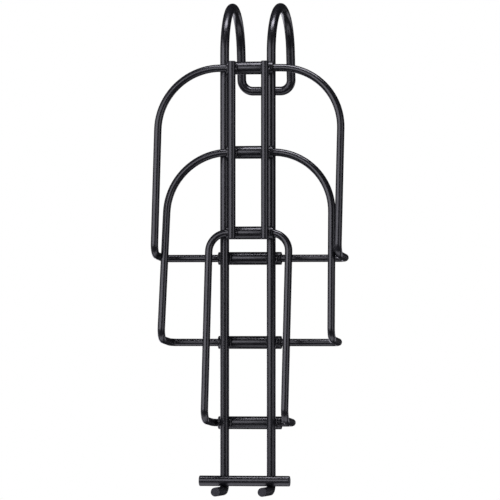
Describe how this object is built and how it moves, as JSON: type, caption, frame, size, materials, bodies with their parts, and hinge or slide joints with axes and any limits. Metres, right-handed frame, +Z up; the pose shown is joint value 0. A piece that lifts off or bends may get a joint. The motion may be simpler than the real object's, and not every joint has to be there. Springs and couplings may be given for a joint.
{
  "type": "folding hang-on rack",
  "caption": "Black steel rod rack that hooks over a rail, with a stack of hoops that swing out together on a link as level shelves.",
  "frame": {"origin": "midway between the two hooks, on the underside of their crests", "axes": "+Z up along the rails, +Y from the rails towards what the rack hangs on, +X across the rack"},
  "size_m": [0.257, 0.2053, 0.658],
  "materials": {
    "rod_coat": "satin black powder coat on round steel rod",
    "sleeve_coat": "satin black powder coat on steel tube",
    "weld_coat": "satin black powder coat, thick over rough weld beads"
  },
  "bodies": {
    "frame": {"main_frame": "rod_coat", "foot_bar": "rod_coat", "pivot_sleeve_upper": "sleeve_coat", "pivot_sleeve_middle": "sleeve_coat", "pivot_sleeve_lower": "sleeve_coat", "weld_pivot_upper_left": "weld_coat", "weld_pivot_upper_right": "weld_coat", "weld_pivot_middle_left": "weld_coat", "weld_pivot_middle_right": "weld_coat", "weld_pivot_lower_left": "weld_coat", "weld_pivot_lower_right": "weld_coat", "weld_foot_left": "weld_coat", "weld_foot_right": "weld_coat"},
    "hoop_upper": {"hoop_upper": "rod_coat"},
    "hoop_middle": {"hoop_middle": "rod_coat"},
    "hoop_lower": {"hoop_lower": "rod_coat"},
    "link": {"link_rod_left": "rod_coat", "link_rod_right": "rod_coat", "link_sleeve_upper": "sleeve_coat", "link_sleeve_middle": "sleeve_coat", "link_sleeve_lower": "sleeve_coat", "weld_link_upper_left": "weld_coat", "weld_link_upper_right": "weld_coat", "weld_link_middle_left": "weld_coat", "weld_link_middle_right": "weld_coat", "weld_link_lower_left": "weld_coat", "weld_link_lower_right": "weld_coat"}
  },
  "joints": [
    {"name": "hoop_upper_swing", "type": "hinge", "parent": "frame", "child": "hoop_upper", "pos_m": [0, -0.0491, -0.331], "axis": [1, 0, 0], "range_deg": [0, 97.9]},
    {"name": "hoop_middle_swing", "type": "hinge", "parent": "frame", "child": "hoop_middle", "pos_m": [0, -0.0491, -0.443], "axis": [1, 0, 0], "range_deg": [0, 97.9]},
    {"name": "hoop_lower_swing", "type": "hinge", "parent": "frame", "child": "hoop_lower", "pos_m": [0, -0.0491, -0.55], "axis": [1, 0, 0], "range_deg": [0, 97.9]},
    {"name": "link_swing", "type": "hinge", "parent": "hoop_upper", "child": "link", "pos_m": [0, -0.0789, -0.0785], "axis": [1, 0, 0], "range_deg": [-97.9, 0]}
  ],
  "couplings": [
    {"joint": "hoop_middle_swing", "follows": "hoop_upper_swing", "ratio": 1},
    {"joint": "hoop_lower_swing", "follows": "hoop_upper_swing", "ratio": 1},
    {"joint": "link_swing", "follows": "hoop_upper_swing", "ratio": -1}
  ]
}
